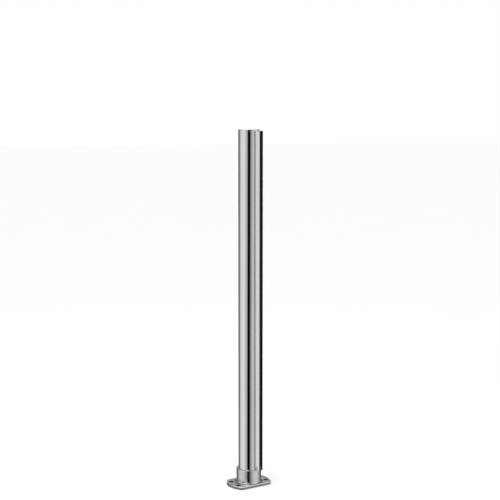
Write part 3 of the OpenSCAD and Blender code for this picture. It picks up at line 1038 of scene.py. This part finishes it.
def studio_world():
    """Soft light from above, and a tent of grey panels and dark gaps that the steel reflects."""
    world = bpy.data.worlds.new("studio")
    bpy.context.scene.world = world
    world.use_nodes = True
    tree = world.node_tree
    tree.nodes.clear()
    link = tree.links.new

    def add(kind, **inputs):
        """A new node, with the given inputs set."""
        node = tree.nodes.new(kind)
        for name, value in inputs.items():
            node.inputs[name.replace("_", " ")].default_value = value
        return node

    def fade(value, low, high):
        """From 0 to 1 as the value goes from low to high, eased at both ends."""
        node = add("ShaderNodeMapRange", From_Min=low, From_Max=high)
        node.interpolation_type = "SMOOTHSTEP"
        link(value, node.inputs["Value"])
        return node.outputs["Result"]

    def blend(factor, below, above):
        """Mixes two colours; each is a grey level or another node's colour."""
        node = add("ShaderNodeMix")
        node.data_type = "RGBA"
        link(factor, node.inputs["Factor"])
        for socket, colour in (("A", below), ("B", above)):
            if isinstance(colour, (int, float)):
                node.inputs[socket].default_value = (colour, colour, colour, 1)
            else:
                link(colour, node.inputs[socket])
        return node.outputs["Result"]

    def sum_of(value, factor, offset):
        """value times factor, plus offset, which is a number or another node's value."""
        node = add("ShaderNodeMath")
        node.operation = "MULTIPLY_ADD"
        link(value, node.inputs[0])
        node.inputs[1].default_value = factor
        if isinstance(offset, (int, float)):
            node.inputs[2].default_value = offset
        else:
            link(offset, node.inputs[2])
        return node.outputs["Value"]

    # Directions, turned so that -Y looks towards the photographer
    coords = add("ShaderNodeTexCoord")
    turn = add("ShaderNodeVectorRotate", Angle=-math.radians(CAMERA_AZIMUTH))
    turn.rotation_type = "Z_AXIS"
    link(coords.outputs["Generated"], turn.inputs["Vector"])
    split = add("ShaderNodeSeparateXYZ")
    link(turn.outputs["Vector"], split.inputs["Vector"])
    to_right = split.outputs["X"]
    away = split.outputs["Y"]
    height = split.outputs["Z"]

    # The panels, by the angle round the post
    angle = add("ShaderNodeMath")
    angle.operation = "ARCTAN2"
    link(to_right, angle.inputs[0])
    link(sum_of(away, -1, 0), angle.inputs[1])
    leaning = sum_of(height, -TENT_LEAN, sum_of(angle.outputs["Value"], 1, -TENT_TURN))
    share = add("ShaderNodeMapRange", From_Min=-math.pi, From_Max=math.pi)
    link(leaning, share.inputs["Value"])
    panels = add("ShaderNodeValToRGB")
    ramp = panels.color_ramp
    while len(ramp.elements) < len(PANELS):
        ramp.elements.new(0.5)
    for element, (degrees, level) in zip(ramp.elements, PANELS):
        element.position = (degrees + 180) / 360
        element.color = (level, level, level, 1)
    link(share.outputs["Result"], panels.inputs["Fac"])

    # Below the panels, the studio's floor is dark on the photographer's left
    lit = panels.outputs["Color"]
    studio_floor = blend(fade(to_right, *DARK_TO_LIT_FLOOR), DARK_LEVEL, lit)
    tent = blend(fade(height, *FLOOR_TO_PANELS), studio_floor, lit)

    # Above them stands a wall with a dark gap in front, and above that the bright sky
    from_front = add("ShaderNodeMath")
    from_front.operation = "ABSOLUTE"
    link(leaning, from_front.inputs[0])
    lit_wall = blend(fade(away, *NEAR_TO_FAR_WALL), NEAR_WALL_LEVEL, FAR_WALL_LEVEL)
    beside_gap = fade(from_front.outputs["Value"], GAP_HALF, GAP_HALF + GAP_EDGE)
    wall = blend(fade(height, *PANELS_TO_WALL), tent, blend(beside_gap, DARK_LEVEL, lit_wall))
    sky = blend(fade(height, *WALL_TO_SKY), wall, SKY_LEVEL)

    # Reflections show the studio's grey ceiling, and the camera itself sees plain white
    path = add("ShaderNodeLightPath")
    ceiling = blend(fade(height, *SKY_TO_CEILING), sky, CEILING_LEVEL)
    reflected = blend(path.outputs["Is Glossy Ray"], sky, ceiling)
    seen = blend(path.outputs["Is Camera Ray"], reflected, 1)
    background = add("ShaderNodeBackground")
    link(seen, background.inputs["Color"])
    output = add("ShaderNodeOutputWorld")
    link(background.outputs["Background"], output.inputs["Surface"])


studio_world()
bpy.context.scene.view_settings.view_transform = "Standard"

LIGHT_PLACE = Vector((-0.8, -0.6, 2.6))
LIGHT_AIM = Vector((0, 0, 0.4))
LIGHT_SIZE = 2
LIGHT_POWER = 14
overhead = bpy.data.lights.new("overhead", "AREA")
overhead.shape = "DISK"
overhead.size = LIGHT_SIZE
overhead.energy = LIGHT_POWER
overhead_object = bpy.data.objects.new("overhead", overhead)
overhead_object.location = LIGHT_PLACE
overhead_object.rotation_euler = (LIGHT_AIM - LIGHT_PLACE).to_track_quat("-Z", "Y").to_euler()
bpy.context.scene.collection.objects.link(overhead_object)

# --------------------------------------------------------------------------------------
# Camera
# --------------------------------------------------------------------------------------
CAMERA_DISTANCE = 3.03
CAMERA_HEIGHT = 1.03
CAMERA_PITCH = 6.45      # below level, in degrees
CAMERA_YAW = -0.072      # from looking straight at the post's axis, in degrees
CAMERA_LENS = 76.85      # millimetres, as the sensor
CAMERA_SENSOR = 36

camera_data = bpy.data.cameras.new("camera")
camera_data.sensor_width = CAMERA_SENSOR
camera_data.lens = CAMERA_LENS
camera = bpy.data.objects.new("camera", camera_data)
azimuth = math.radians(CAMERA_AZIMUTH)
camera.location = (math.sin(azimuth) * CAMERA_DISTANCE, -math.cos(azimuth) * CAMERA_DISTANCE,
                   CAMERA_HEIGHT)
camera.rotation_euler = (math.radians(90 - CAMERA_PITCH), 0, azimuth + math.radians(CAMERA_YAW))
bpy.context.scene.collection.objects.link(camera)
bpy.context.scene.camera = camera
